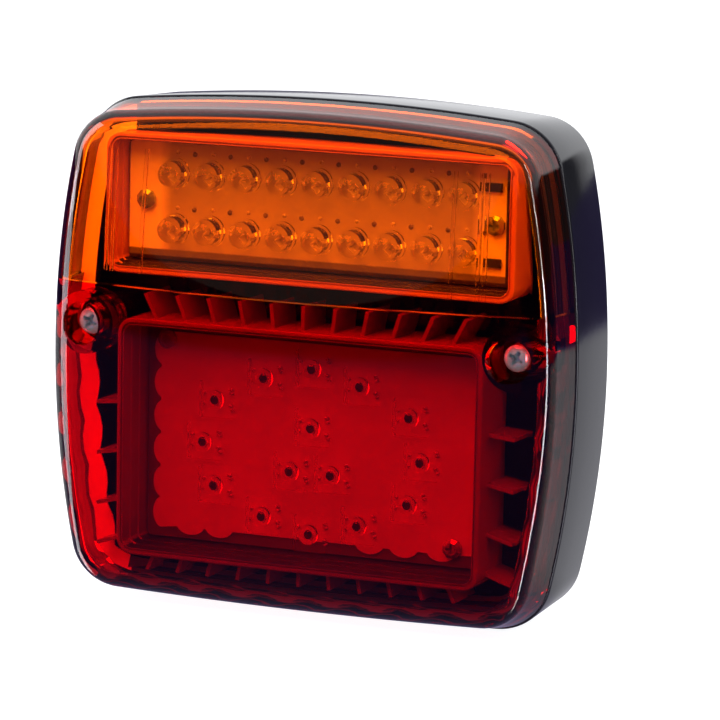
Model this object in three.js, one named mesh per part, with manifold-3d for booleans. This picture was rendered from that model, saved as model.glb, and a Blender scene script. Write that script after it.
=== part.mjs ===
// Surface-mounted rear lamp for a trailer, in millimetres.
//
// The lamp is modelled lying on its back: x runs to the right, y up the lamp, and z out of the
// mounting face. The last lines stand it up, so it looks towards -Y with +Z up, and its origin is
// the middle of the mounting face.

import * as THREE from "three";
import { mergeVertices } from "three/addons/utils/BufferGeometryUtils.js";
import Module from "manifold-3d";

const wasm = await Module();
wasm.setup();

// ---- driving dimensions -------------------------------------------------------------------

const GAP = 0.3; // between pieces that touch

// outline of the lamp: four slightly bowed edges joined by round corners
const HALF_WIDTH = 52;
const HALF_HEIGHT = 48.85;
const SIDE_BOW_RADIUS = 185;
const TOP_BOW_RADIUS = 400;
const BOTTOM_BOW_RADIUS = 1100;
const CORNER_RADIUS = 11;
const EDGE_STEPS = 5;
const CORNER_STEPS = 4;

// housing
const HOUSING_DEPTH = 19;
const FLOOR = 2.2;
const HOUSING_WALL = 2.4;
const REAR_DRAFT = 0.8;
const REAR_CHAMFER = 1;
const LEDGE_DEPTH = 3.6;
const LEDGE_INSET = 5;
const GROOVE_INSET = [2.8, 4.4];
const GROOVE_DEPTH = 1.8;

// lens
const LENS_WALL = 2.2;
const LENS_INSET = 0.4;
const LENS_DRAFT = 0.7;
const LENS_END_DRAFT = 0.8; // more than LENS_DRAFT, at the top and bottom only
const LENS_SHOULDER = HOUSING_DEPTH + 7.5;
const LENS_EDGE_RADIUS = 4.5;
const LENS_EDGE_SWEEP = THREE.MathUtils.degToRad(75);
const LENS_CROWN = 5.95;
const LENS_TOP = LENS_SHOULDER + LENS_EDGE_RADIUS * Math.sin(LENS_EDGE_SWEEP) + LENS_CROWN;
const LENS_FLANGE_INSET = 4.2;
const LENS_FLANGE_DEPTH = 2;
const PARTING_HEIGHT = 12.7;

// lens screws, their wells, pillars and inserts
const SCREW_X = 43.2;
const SCREW_Y = 4.7;
const WELL_RADIUS = 4.1;
const WELL_WALL = 1.9;
const WELL_FLOOR = 25.1;
const WELL_FLOOR_THICKNESS = 2;
const SCREW_HOLE_RADIUS = 1.8;
const SCREW_RADIUS = 1.45;
const SCREW_HEAD_RADIUS = 2.55;
const SCREW_HEAD_HEIGHT = 1.9;
const SCREW_LENGTH = 16;
const ORING_RADIUS = 2.45;
const ORING_THICKNESS = 0.7;
const INSERT_RADIUS = 2.8;
const INSERT_BORE = 1.8;
const INSERT_LENGTH = 9;
const PILLAR_RADIUS = 4.2;

// light wells, boards and light sources
const FRAME_WALL = 1.9;
const LIP_WIDTH = 1.6;
const LIP_THICKNESS = 1.2;
const BOARD_BACK = 17;
const BOARD_THICKNESS = 1.6;
const BOARD_FRONT = BOARD_BACK + BOARD_THICKNESS;
const AMBER_WELL = { left: -39.5, right: 39.5, bottom: 15.9, top: 38.8, front: 24.5 };
const RED_WELL = { left: -35, right: 35, bottom: -37.4, top: 4.2, front: 27.8 };
const AMBER_LED_COUNT = 9;
const AMBER_LED_PITCH = 7.36;
const AMBER_LED_FIRST = -29.4;
const AMBER_LED_ROWS = [32.8, 22.3];
const RED_RING_CENTRE = -17.6;
const RED_RING_QUARTER = [[0, 15.7], [9.8, 13.2], [19.8, 8.2], [22.2, 0]];
const RED_INNER_LEDS = [[0, 4.5], [-4.2, -4.1], [4.2, -4.1]];

// mounting holes and cable entry in the floor
const MOUNT_HOLES = [[-26, 24], [26, 24]];
const MOUNT_HOLE_RADIUS = 3;
const MOUNT_BOSS_RADIUS = 6;
const MOUNT_BOSS_HEIGHT = 2.4;
const CABLE_ENTRY = [0, -27];
const CABLE_HOLE_RADIUS = 6;
const TERMINAL_BLOCK = { x: 0, y: -12, width: 34, height: 9, depth: 8 };

// ---- helpers ------------------------------------------------------------------------------

function toSolid(geometry) {
  const bare = geometry.clone();
  bare.deleteAttribute("normal");
  bare.deleteAttribute("uv");
  const merged = mergeVertices(bare, 1e-4);
  return new wasm.Manifold(new wasm.Mesh({
    numProp: 3,
    vertProperties: new Float32Array(merged.attributes.position.array),
    triVerts: new Uint32Array(merged.index.array),
  }));
}

function toGeometry(solid) {
  const mesh = solid.getMesh();
  const geometry = new THREE.BufferGeometry();
  geometry.setAttribute("position", new THREE.BufferAttribute(mesh.vertProperties, 3));
  geometry.setIndex(new THREE.BufferAttribute(mesh.triVerts, 1));
  geometry.computeVertexNormals();
  return geometry;
}

// A round bar along z.
function bar(radius, zLow, zHigh, [x, y] = [0, 0], sides = 20) {
  const geometry = new THREE.CylinderGeometry(radius, radius, zHigh - zLow, sides);
  return toSolid(geometry.rotateX(Math.PI / 2).translate(x, y, (zLow + zHigh) / 2));
}

// A block given by its lowest and highest corners.
function block(low, high) {
  const size = high.map((value, axis) => value - low[axis]);
  const centre = high.map((value, axis) => (value + low[axis]) / 2);
  return toSolid(new THREE.BoxGeometry(...size).translate(...centre));
}

// A turned piece: the profile is [radius, z] pairs from the bottom of the axis to its top.
function turned(profile, [x, y] = [0, 0], sides = 12) {
  const points = profile.map(([radius, z]) => new THREE.Vector2(radius, z));
  return toSolid(new THREE.LatheGeometry(points, sides).rotateX(Math.PI / 2).translate(x, y, 0));
}

// A flat shape drawn in x and y, standing from zLow to zHigh.
function slab(shape, zLow, zHigh, curveSegments = 4) {
  const options = { depth: zHigh - zLow, bevelEnabled: false, curveSegments };
  return toSolid(new THREE.ExtrudeGeometry(shape, options).translate(0, 0, zLow));
}

function roundedRectangle({ left, right, bottom, top }, grow, radius) {
  const [x0, x1, y0, y1] = [left - grow, right + grow, bottom - grow, top + grow];
  const shape = new THREE.Shape();
  shape.absarc(x1 - radius, y1 - radius, radius, 0, Math.PI / 2);
  shape.absarc(x0 + radius, y1 - radius, radius, Math.PI / 2, Math.PI);
  shape.absarc(x0 + radius, y0 + radius, radius, Math.PI, 1.5 * Math.PI);
  shape.absarc(x1 - radius, y0 + radius, radius, 1.5 * Math.PI, 2 * Math.PI);
  shape.closePath();
  return shape;
}

// A wire of round section along a smooth curve.
function wire(points, radius, steps = 12) {
  const path = new THREE.CatmullRomCurve3(points.map((point) => new THREE.Vector3(...point)));
  const section = new THREE.Shape().absarc(0, 0, radius, 0, 2 * Math.PI);
  const options = { extrudePath: path, steps, curveSegments: 3, bevelEnabled: false };
  return toSolid(new THREE.ExtrudeGeometry(section, options));
}

function subtractAll(solid, cutters) {
  return cutters.reduce((rest, cutter) => rest.subtract(cutter), solid);
}

function addAll(solids) {
  return solids.reduce((sum, solid) => sum.add(solid));
}

// ---- the lamp's outline -------------------------------------------------------------------

// Where the corner's centre lies: the crossing, right of the axis, of the side's and the end's
// circles, each drawn in by the corner radius.
function cornerCentre(endRadius, direction) {
  const side = new THREE.Vector2(HALF_WIDTH - SIDE_BOW_RADIUS, 0);
  const end = new THREE.Vector2(0, direction * (HALF_HEIGHT - endRadius));
  const sideRadius = SIDE_BOW_RADIUS - CORNER_RADIUS;
  const apart = end.clone().sub(side);
  const distance = apart.length();
  const along = (distance ** 2 + sideRadius ** 2 - (endRadius - CORNER_RADIUS) ** 2) / (2 * distance);
  const across = Math.sqrt(sideRadius ** 2 - along ** 2);
  apart.normalize();
  const normal = new THREE.Vector2(-apart.y, apart.x).multiplyScalar(direction);
  return side.addScaledVector(apart, along).addScaledVector(normal, across);
}

const TOP_CORNER = cornerCentre(TOP_BOW_RADIUS, 1);
const BOTTOM_CORNER = cornerCentre(BOTTOM_BOW_RADIUS, -1);

function arcPoints(centre, radius, from, to, steps) {
  return Array.from({ length: steps }, (_, step) => {
    const angle = from + ((to - from) * step) / steps;
    return new THREE.Vector2(centre.x + radius * Math.cos(angle), centre.y + radius * Math.sin(angle));
  });
}

// The outline drawn in by inset, anticlockwise from the bottom's middle, and mirrored at x = 0.
function outline(inset) {
  const sideCentre = new THREE.Vector2(HALF_WIDTH - SIDE_BOW_RADIUS, 0);
  const topCentre = new THREE.Vector2(0, HALF_HEIGHT - TOP_BOW_RADIUS);
  const bottomCentre = new THREE.Vector2(0, BOTTOM_BOW_RADIUS - HALF_HEIGHT);
  const angle = (from, to) => Math.atan2(to.y - from.y, to.x - from.x);
  const bottomEnd = angle(bottomCentre, BOTTOM_CORNER);
  const sideStart = angle(sideCentre, BOTTOM_CORNER);
  const sideEnd = angle(sideCentre, TOP_CORNER);
  const topStart = angle(topCentre, TOP_CORNER);
  const corner = CORNER_RADIUS - inset;
  const right = [
    ...arcPoints(bottomCentre, BOTTOM_BOW_RADIUS - inset, -Math.PI / 2, bottomEnd, EDGE_STEPS),
    ...arcPoints(BOTTOM_CORNER, corner, bottomEnd, sideStart, CORNER_STEPS),
    ...arcPoints(sideCentre, SIDE_BOW_RADIUS - inset, sideStart, sideEnd, 2 * EDGE_STEPS),
    ...arcPoints(TOP_CORNER, corner, sideEnd, topStart, CORNER_STEPS),
    ...arcPoints(topCentre, TOP_BOW_RADIUS - inset, topStart, Math.PI / 2, EDGE_STEPS),
    new THREE.Vector2(0, HALF_HEIGHT - inset),
  ];
  const left = right.slice(1, -1).reverse().map((point) => new THREE.Vector2(-point.x, point.y));
  return [...right, ...left];
}

// A closed skin over a stack of rings of as many points each, with a fan on the first and the last.
// A ring is { points, heights }.
function loft(rings) {
  const count = rings[0].points.length;
  const positions = rings.flatMap(({ points, heights }) =>
    points.flatMap((point, number) => [point.x, point.y, heights[number]]));
  const middle = ({ heights }) => Math.max(...heights);
  positions.push(0, 0, middle(rings[0]), 0, 0, middle(rings.at(-1)));
  const bottomCentre = rings.length * count;
  const topCentre = bottomCentre + 1;
  const topRing = (rings.length - 1) * count;
  const index = [];
  for (let point = 0; point < count; point += 1) {
    const next = (point + 1) % count;
    for (let ring = 0; ring < topRing; ring += count) {
      index.push(ring + point, ring + next, ring + count + next);
      index.push(ring + point, ring + count + next, ring + count + point);
    }
    index.push(bottomCentre, next, point);
    index.push(topCentre, topRing + point, topRing + next);
  }
  const geometry = new THREE.BufferGeometry();
  geometry.setAttribute("position", new THREE.Float32BufferAttribute(positions, 3));
  geometry.setIndex(index);
  return toSolid(geometry);
}

// The outline at some inset and one height.
function flatRing(inset, z) {
  const points = outline(inset);
  return { points, heights: points.map(() => z) };
}

function outlineSlab(inset, zLow, zHigh) {
  return loft([flatRing(inset, zLow), flatRing(inset, zHigh)]);
}

// ---- housing and seal ---------------------------------------------------------------------

const SCREW_PLACES = { left: [-SCREW_X, SCREW_Y], right: [SCREW_X, SCREW_Y] };
const AMBER_BOARD_SCREWS = [[-35.4, 27.6], [35.4, 27.6]];
const RED_BOARD_SCREWS = [[-30.6, 1.2], [28.4, -33.5]];
const POST_RADIUS = 2.6;
const POST_HOLE_RADIUS = 1.3;
const POST_TOP = BOARD_BACK - LIP_THICKNESS - 2 * GAP;
const PILLAR_TOP = WELL_FLOOR - WELL_FLOOR_THICKNESS - GAP;
const INSERT_BOTTOM = PILLAR_TOP - GAP - INSERT_LENGTH;

function housingShell() {
  const outside = loft([
    flatRing(REAR_DRAFT + REAR_CHAMFER, 0),
    flatRing(REAR_DRAFT, REAR_CHAMFER),
    flatRing(0, HOUSING_DEPTH),
  ]);
  const ledgeBottom = HOUSING_DEPTH - LEDGE_DEPTH;
  const [grooveOutside, grooveInside] = GROOVE_INSET;
  const grooveBottom = HOUSING_DEPTH - GROOVE_DEPTH;
  const groove = outlineSlab(grooveOutside, grooveBottom, HOUSING_DEPTH + 1)
    .subtract(outlineSlab(grooveInside, grooveBottom - 1, HOUSING_DEPTH + 2));
  return subtractAll(outside, [
    outlineSlab(REAR_DRAFT + HOUSING_WALL, FLOOR, ledgeBottom),
    outlineSlab(LEDGE_INSET, ledgeBottom - 1, HOUSING_DEPTH + 1),
    groove,
  ]);
}

function housing() {
  const posts = [...AMBER_BOARD_SCREWS, ...RED_BOARD_SCREWS];
  const places = Object.values(SCREW_PLACES);
  const standing = addAll([
    housingShell(),
    ...posts.map((place) => bar(POST_RADIUS, FLOOR / 2, POST_TOP, place, 12)),
    ...places.map((place) => bar(PILLAR_RADIUS, FLOOR / 2, PILLAR_TOP, place)),
    ...MOUNT_HOLES.map((place) => bar(MOUNT_BOSS_RADIUS, FLOOR / 2, FLOOR + MOUNT_BOSS_HEIGHT, place)),
  ]);
  return subtractAll(standing, [
    ...posts.map((place) => bar(POST_HOLE_RADIUS, FLOOR + 2, POST_TOP + 1, place, 10)),
    ...places.map((place) => bar(INSERT_RADIUS + GAP, INSERT_BOTTOM - GAP, PILLAR_TOP + 1, place)),
    ...places.map((place) => bar(SCREW_HOLE_RADIUS, FLOOR + 2, PILLAR_TOP, place, 12)),
    ...MOUNT_HOLES.map((place) => bar(MOUNT_HOLE_RADIUS, -1, FLOOR + MOUNT_BOSS_HEIGHT + 1, place, 24)),
    bar(CABLE_HOLE_RADIUS, -1, FLOOR + 1, CABLE_ENTRY),
  ]);
}

function lensSeal() {
  const [outside, inside] = GROOVE_INSET;
  const zLow = HOUSING_DEPTH - GROOVE_DEPTH + GAP;
  return outlineSlab(outside + GAP, zLow, HOUSING_DEPTH)
    .subtract(outlineSlab(inside - GAP, zLow - 1, HOUSING_DEPTH + 1));
}

// ---- lens ---------------------------------------------------------------------------------

const LENS_RIM = HOUSING_DEPTH + GAP;
const EDGE_RINGS = 3;
const DOME_RINGS = 4;

// The lens's outline at some inset: its top and bottom lean in more than its sides do.
function lensOutline(inset, endDraft) {
  const squeeze = 1 - endDraft / HALF_HEIGHT;
  return outline(inset).map((point) => new THREE.Vector2(point.x, point.y * squeeze));
}

// The lens's solid form, drawn in all over by offset: straight side, round edge, shallow crown.
// The crown's height falls off as (1 - x^2)(1 - y^2), so it meets the round edge level all round.
function lensForm(offset, zLow) {
  const radius = LENS_EDGE_RADIUS - offset;
  const edgeInset = LENS_INSET + LENS_DRAFT + LENS_EDGE_RADIUS;
  const edgeAt = (angle) => lensOutline(edgeInset - radius * Math.cos(angle), LENS_END_DRAFT);
  const edge = edgeAt(LENS_EDGE_SWEEP);
  const halfX = Math.max(...edge.map((point) => point.x));
  const halfY = Math.max(...edge.map((point) => point.y));
  const crown = (point) => LENS_CROWN * (1 - (point.x / halfX) ** 2) * (1 - (point.y / halfY) ** 2);
  const rings = [{ points: lensOutline(LENS_INSET + offset, 0), heights: edge.map(() => zLow) }];
  for (let step = 0; step <= EDGE_RINGS; step += 1) {
    const angle = (LENS_EDGE_SWEEP * step) / EDGE_RINGS;
    const z = LENS_SHOULDER + radius * Math.sin(angle);
    rings.push({ points: edgeAt(angle), heights: edge.map((point) => z + (crown(point) * step) / EDGE_RINGS) });
  }
  const level = LENS_SHOULDER + radius * Math.sin(LENS_EDGE_SWEEP);
  for (const scale of [...Array(DOME_RINGS).keys()].map((ring) => 1 - (ring + 1) / (DOME_RINGS + 0.1))) {
    const points = edge.map((point) => point.clone().multiplyScalar(scale));
    rings.push({ points, heights: points.map((point) => level + crown(point)) });
  }
  return loft(rings);
}

// The shell keeps a flange inside its rim, which bears on the seal.
function lensShell() {
  const flange = outlineSlab(0, 0, LENS_RIM + LENS_FLANGE_DEPTH)
    .subtract(outlineSlab(LENS_FLANGE_INSET, -1, LENS_RIM + LENS_FLANGE_DEPTH + 1));
  const hollow = lensForm(LENS_WALL, LENS_RIM - 1).subtract(flange);
  return lensForm(0, LENS_RIM).subtract(hollow);
}

function half(yLow, yHigh) {
  return block([-HALF_WIDTH - 5, yLow, 0], [HALF_WIDTH + 5, yHigh, LENS_TOP + 5]);
}

function amberLens() {
  return lensShell().intersect(half(PARTING_HEIGHT + GAP / 2, HALF_HEIGHT + 5));
}

function redLens() {
  const places = Object.values(SCREW_PLACES);
  const wellBottom = WELL_FLOOR - WELL_FLOOR_THICKNESS;
  const tubes = places.map((place) => bar(WELL_RADIUS + WELL_WALL, wellBottom, LENS_TOP, place, 28));
  const wells = addAll(tubes).intersect(lensForm(0.01, LENS_RIM));
  const lower = lensShell().add(wells).intersect(half(-HALF_HEIGHT - 5, PARTING_HEIGHT - GAP / 2));
  return subtractAll(lower, [
    ...places.map((place) => bar(WELL_RADIUS, WELL_FLOOR, LENS_TOP + 1, place, 28)),
    ...places.map((place) => bar(SCREW_HOLE_RADIUS, 0, WELL_FLOOR + 1, place, 16)),
  ]);
}

// ---- lens screws, O-rings and inserts -----------------------------------------------------

const HEAD_BOTTOM = WELL_FLOOR + ORING_THICKNESS + 2 * GAP;

function crossRecess(place, zTop, reach, width, depth) {
  const [x, y] = place;
  const slot = (halfX, halfY) =>
    block([x - halfX, y - halfY, zTop - depth], [x + halfX, y + halfY, zTop + 1]);
  return slot(reach, width / 2).add(slot(width / 2, reach));
}

function lensScrew(place) {
  const top = HEAD_BOTTOM + SCREW_HEAD_HEIGHT;
  const profile = [
    [0, HEAD_BOTTOM - SCREW_LENGTH],
    [SCREW_RADIUS * 0.6, HEAD_BOTTOM - SCREW_LENGTH],
    [SCREW_RADIUS, HEAD_BOTTOM - SCREW_LENGTH + 1.5],
    [SCREW_RADIUS, HEAD_BOTTOM],
    [SCREW_HEAD_RADIUS, HEAD_BOTTOM],
    [SCREW_HEAD_RADIUS, HEAD_BOTTOM + 0.9],
    [SCREW_HEAD_RADIUS * 0.9, HEAD_BOTTOM + 1.4],
    [SCREW_HEAD_RADIUS * 0.6, HEAD_BOTTOM + 1.75],
    [0, top],
  ];
  return turned(profile, place, 18).subtract(crossRecess(place, top, 1.45, 0.65, 1.3));
}

function oRing(place) {
  const zLow = WELL_FLOOR + GAP;
  const hole = bar(SCREW_RADIUS + GAP, zLow - 1, zLow + ORING_THICKNESS + 1, place, 12);
  return bar(ORING_RADIUS, zLow, zLow + ORING_THICKNESS, place, 16).subtract(hole);
}

function brassInsert(place) {
  const top = INSERT_BOTTOM + INSERT_LENGTH;
  const hole = bar(INSERT_BORE, INSERT_BOTTOM - 1, top + 1, place, 12);
  return bar(INSERT_RADIUS, INSERT_BOTTOM, top, place, 16).subtract(hole);
}

// ---- light wells and boards ---------------------------------------------------------------

// A rectangular tube round a board, with a lip that the board lies on.
function lightWell(well, screws) {
  const lipTop = BOARD_BACK - GAP;
  const lipInside = roundedRectangle(well, -LIP_WIDTH, 0.8);
  const body = slab(roundedRectangle(well, FRAME_WALL, 2.6), lipTop - LIP_THICKNESS, well.front);
  const ears = screws.map((place) => bar(POST_RADIUS + 0.4, lipTop - LIP_THICKNESS, lipTop, place, 14));
  const hollow = slab(roundedRectangle(well, 0, 1.2), lipTop, well.front + 1);
  const opening = slab(lipInside, lipTop - LIP_THICKNESS - 1, lipTop + 1);
  const holes = screws.map((place) => bar(POST_HOLE_RADIUS, 0, lipTop + 1, place, 10));
  return subtractAll(addAll([body.subtract(hollow).subtract(opening), ...ears]), holes);
}

function boardPlate(well, screws) {
  const plate = slab(roundedRectangle(well, -GAP, 0.8), BOARD_BACK, BOARD_FRONT);
  return subtractAll(plate, screws.map((place) => bar(POST_HOLE_RADIUS, 0, LENS_TOP, place, 10)));
}

function boardScrew(place) {
  const bottom = BOARD_FRONT + GAP;
  const profile = [[0, bottom - 6], [1, bottom - 5.5], [1, bottom], [1.9, bottom]];
  profile.push([1.9, bottom + 0.7], [1.2, bottom + 1.2], [0, bottom + 1.2]);
  return turned(profile, place, 10).subtract(crossRecess(place, bottom + 1.2, 1, 0.45, 0.7));
}

// ---- light sources and small parts on the boards ------------------------------------------

const LED_BASE = BOARD_FRONT + GAP;

// Round clear source: flange, barrel and half-ball dome.
function amberLed(place) {
  const [flange, barrel, height] = [2.95, 2.5, 2.4];
  const profile = [[0, 0], [flange, 0], [flange, 0.8], [barrel, 0.8], [barrel, height]];
  for (const degrees of [22.5, 45, 67.5]) {
    const angle = THREE.MathUtils.degToRad(degrees);
    profile.push([barrel * Math.cos(angle), height + barrel * Math.sin(angle)]);
  }
  profile.push([0, height + barrel]);
  return turned(profile.map(([radius, z]) => [radius, LED_BASE + z]), place, 12);
}

// Square four-legged source with a small round dome.
function redLed([x, y]) {
  const [side, height, dome] = [3.5, 1.9, 1.9];
  const body = block([x - side, y - side, LED_BASE], [x + side, y + side, LED_BASE + height]);
  const profile = [[0, height - 0.5], [dome, height - 0.5], [dome, height + 0.4]];
  for (const degrees of [30, 60]) {
    const angle = THREE.MathUtils.degToRad(degrees);
    profile.push([dome * Math.cos(angle), height + 0.4 + 0.8 * dome * Math.sin(angle)]);
  }
  profile.push([0, height + 0.4 + 0.8 * dome]);
  return body.add(turned(profile.map(([radius, z]) => [radius, LED_BASE + z]), [x, y], 10));
}

function resistor([x, y]) {
  return block([x - 1.6, y - 0.8, LED_BASE], [x + 1.6, y + 0.8, LED_BASE + 0.7]);
}

// ---- cable entry, terminal block and leads ------------------------------------------------

function cableGrommet() {
  const neck = CABLE_HOLE_RADIUS - GAP;
  const flange = bar(neck + 1.8, FLOOR + GAP, FLOOR + 1.8, CABLE_ENTRY);
  const body = bar(neck, GAP, FLOOR + 1, CABLE_ENTRY).add(flange);
  const collar = bar(neck - 1.2, FLOOR + 1, FLOOR + 4, CABLE_ENTRY);
  return body.add(collar).subtract(bar(3, -1, FLOOR + 6, CABLE_ENTRY, 24));
}

const TERMINALS = [-12, -4, 4, 12];

function terminalBlock() {
  const { x, y, width, height, depth } = TERMINAL_BLOCK;
  const zLow = FLOOR + GAP;
  const body = block([x - width / 2, y - height / 2, zLow], [x + width / 2, y + height / 2, zLow + depth]);
  const wells = TERMINALS.map((place) => bar(2, zLow + depth - 2.5, zLow + depth + 1, [x + place, y], 8));
  const entries = TERMINALS.map((place) =>
    block([x + place - 1.5, y - height, zLow + 1.5], [x + place + 1.5, y - height / 2 + 2.5, zLow + 4.5]));
  return subtractAll(body, [...wells, ...entries]);
}

const LEAD_RADIUS = 0.8;
const BLOCK_TOP = TERMINAL_BLOCK.y + TERMINAL_BLOCK.height / 2 + GAP;

const LEAD_TOP = BOARD_BACK - 0.8;

// Leads run from the block's upper edge, over the floor, to the back of a board.
const LEADS = {
  red_lead: [[-12, BLOCK_TOP, 6], [-13, -3, 6], [-17, 0, 8], [-18, -1, 12], [-18, -1, LEAD_TOP]],
  amber_lead: [[-4, BLOCK_TOP, 6], [-4, 4, 6], [-3, 16, 6], [-2, 28, 8], [-2, 29, 12], [-2, 29, LEAD_TOP]],
  earth_lead: [[4, BLOCK_TOP, 6], [5, 4, 6], [9, 14, 6], [14, 28, 8], [14, 29, 12], [14, 29, LEAD_TOP]],
  bridge_lead: [[12, BLOCK_TOP, 6], [13, -3, 6], [17, 0, 8], [18, -1, 12], [18, -1, LEAD_TOP]],
};

// ---- assembly -----------------------------------------------------------------------------

const FINISH = {
  black_plastic: { color: 0x0b0b0e, roughness: 0.15, metalness: 0 },
  amber_plastic: { color: 0xff7a00, roughness: 0.05, metalness: 0 },
  red_plastic: { color: 0xc00010, roughness: 0.05, metalness: 0 },
  clear_resin: { color: 0xe8ecf0, roughness: 0.08, metalness: 0 },
  frame_plastic: { color: 0x8f8f95, roughness: 0.35, metalness: 0 },
  board: { color: 0xd8d8d2, roughness: 0.45, metalness: 0 },
  rubber: { color: 0x1a1a1c, roughness: 0.8, metalness: 0 },
  zinc: { color: 0xc4c8cc, roughness: 0.3, metalness: 1 },
  brass: { color: 0xb9975b, roughness: 0.35, metalness: 1 },
  resistor: { color: 0x16161a, roughness: 0.5, metalness: 0 },
  terminal: { color: 0xe3e0d6, roughness: 0.5, metalness: 0 },
  red_wire: { color: 0xb01515, roughness: 0.5, metalness: 0 },
  amber_wire: { color: 0xd8a010, roughness: 0.5, metalness: 0 },
  white_wire: { color: 0xe6e6e6, roughness: 0.5, metalness: 0 },
  brown_wire: { color: 0x6a3d1e, roughness: 0.5, metalness: 0 },
};

const lamp = new THREE.Group();

function place(name, solid, finish) {
  const mesh = new THREE.Mesh(toGeometry(solid), new THREE.MeshStandardMaterial(FINISH[finish]));
  mesh.name = name;
  lamp.add(mesh);
}

place("housing", housing(), "black_plastic");
place("lens_seal", lensSeal(), "rubber");
place("amber_lens", amberLens(), "amber_plastic");
place("red_lens", redLens(), "red_plastic");

for (const [side, position] of Object.entries(SCREW_PLACES)) {
  place(`lens_screw_${side}`, lensScrew(position), "zinc");
  place(`screw_o_ring_${side}`, oRing(position), "rubber");
  place(`brass_insert_${side}`, brassInsert(position), "brass");
}

place("amber_light_well", lightWell(AMBER_WELL, AMBER_BOARD_SCREWS), "frame_plastic");
place("amber_board", boardPlate(AMBER_WELL, AMBER_BOARD_SCREWS), "board");
AMBER_BOARD_SCREWS.forEach((position, number) => {
  place(`amber_board_screw_${number + 1}`, boardScrew(position), "zinc");
});
AMBER_LED_ROWS.forEach((y, row) => {
  for (let column = 0; column < AMBER_LED_COUNT; column += 1) {
    const position = [AMBER_LED_FIRST + column * AMBER_LED_PITCH, y];
    place(`amber_led_${row === 0 ? "upper" : "lower"}_${column + 1}`, amberLed(position), "clear_resin");
  }
});

place("red_light_well", lightWell(RED_WELL, RED_BOARD_SCREWS), "frame_plastic");
place("red_board", boardPlate(RED_WELL, RED_BOARD_SCREWS), "board");
RED_BOARD_SCREWS.forEach((position, number) => {
  place(`red_board_screw_${number + 1}`, boardScrew(position), "zinc");
});

// The ring, clockwise from its top: one quarter of it, mirrored.
const ringRight = [...RED_RING_QUARTER, ...RED_RING_QUARTER.slice(0, -1).reverse().map(([x, y]) => [x, -y])];
const ringLeft = ringRight.slice(1, -1).reverse().map(([x, y]) => [-x, y]);
[...ringRight, ...ringLeft].forEach(([x, y], number) => {
  place(`red_ring_led_${number + 1}`, redLed([x, RED_RING_CENTRE + y]), "clear_resin");
});
RED_INNER_LEDS.forEach(([x, y], number) => {
  place(`red_inner_led_${number + 1}`, redLed([x, RED_RING_CENTRE + y]), "clear_resin");
});

[[35, 34.6], [35, 20.6]].forEach((position, number) => {
  place(`resistor_${number + 1}`, resistor(position), "resistor");
});

place("cable_grommet", cableGrommet(), "rubber");
place("terminal_block", terminalBlock(), "terminal");
const leadFinishes = ["red_wire", "amber_wire", "white_wire", "brown_wire"];
Object.entries(LEADS).forEach(([name, points], number) => {
  place(name, wire(points, LEAD_RADIUS), leadFinishes[number]);
});

lamp.rotation.x = Math.PI / 2;

export default lamp;
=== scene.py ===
"""Rear lamp of a trailer: fine surfaces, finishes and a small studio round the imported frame.

Sizes in this file are in millimetres, in the lamp's own terms: x to the right, up the lamp, and
out of the mounting face. metres() turns them into metres in the frame's axes.
"""

import math

import bmesh
import bpy
import numpy as np
from mathutils import Matrix, Vector


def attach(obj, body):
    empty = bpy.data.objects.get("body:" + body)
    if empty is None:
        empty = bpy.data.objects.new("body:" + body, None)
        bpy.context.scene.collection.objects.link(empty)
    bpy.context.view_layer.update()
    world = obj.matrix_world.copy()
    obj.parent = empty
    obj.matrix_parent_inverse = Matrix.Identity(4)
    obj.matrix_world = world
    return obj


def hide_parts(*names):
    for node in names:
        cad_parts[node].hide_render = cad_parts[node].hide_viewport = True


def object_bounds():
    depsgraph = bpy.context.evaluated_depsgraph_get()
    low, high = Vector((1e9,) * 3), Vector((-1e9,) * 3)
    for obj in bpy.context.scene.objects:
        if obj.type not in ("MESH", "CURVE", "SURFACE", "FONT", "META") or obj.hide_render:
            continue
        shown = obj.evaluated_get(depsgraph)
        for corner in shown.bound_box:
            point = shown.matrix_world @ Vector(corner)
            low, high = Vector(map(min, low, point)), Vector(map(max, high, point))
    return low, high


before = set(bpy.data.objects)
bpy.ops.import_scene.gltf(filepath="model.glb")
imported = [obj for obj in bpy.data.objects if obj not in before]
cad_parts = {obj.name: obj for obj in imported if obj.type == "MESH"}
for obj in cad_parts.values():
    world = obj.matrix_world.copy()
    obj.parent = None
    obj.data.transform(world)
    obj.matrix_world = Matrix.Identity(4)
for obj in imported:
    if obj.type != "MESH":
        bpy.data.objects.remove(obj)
cad_low, cad_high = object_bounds()

# ---- sizes shared by the pieces -------------------------------------------------------------

HALF_WIDTH = 51.98
HALF_HEIGHT = 48.83
SIDE_RADIUS = 185.0
TOP_RADIUS = 400.0
BOTTOM_RADIUS = 1100.0
CORNER_RADIUS = 11.0
RIM = 19.0  # front of the housing
LENS_RIM = 19.3
LENS_WALL = 2.2
LENS_INSET = 0.4  # the lens's rim, in from the housing's outline
DRAFT = 0.7  # how far the lens's side leans in below its shoulder
SHOULDER = 26.5  # where the lens's round edge starts
EDGE_RADIUS = 4.5
EDGE_INSET = 5.6  # centre of that edge, in from the housing's outline
EDGE_SWEEP = math.radians(75)
CROWN = 5.94  # rise of the lens's front at its middle
END_SQUEEZE = 1 - 0.8 / 48.85  # the lens's top and bottom lean in by 0.8
PARTING = 12.7  # height of the colour line
PARTING_GAP = 0.02
FLUTE_PITCH = 9.3
SCREWS = {"left": (-43.2, 4.7), "right": (43.2, 4.7)}
BOARD_SCREWS = [(-35.4, 27.6), (35.4, 27.6), (-30.6, 1.2), (28.4, -33.5)]
MOUNT_HOLES = [(-26.0, 24.0), (26.0, 24.0)]
CABLE_ENTRY = (0.0, -27.0)
AMBER_BOX = (-39.5, 39.5, 15.9, 38.8)  # inside of each well: left, right, bottom, top
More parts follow.
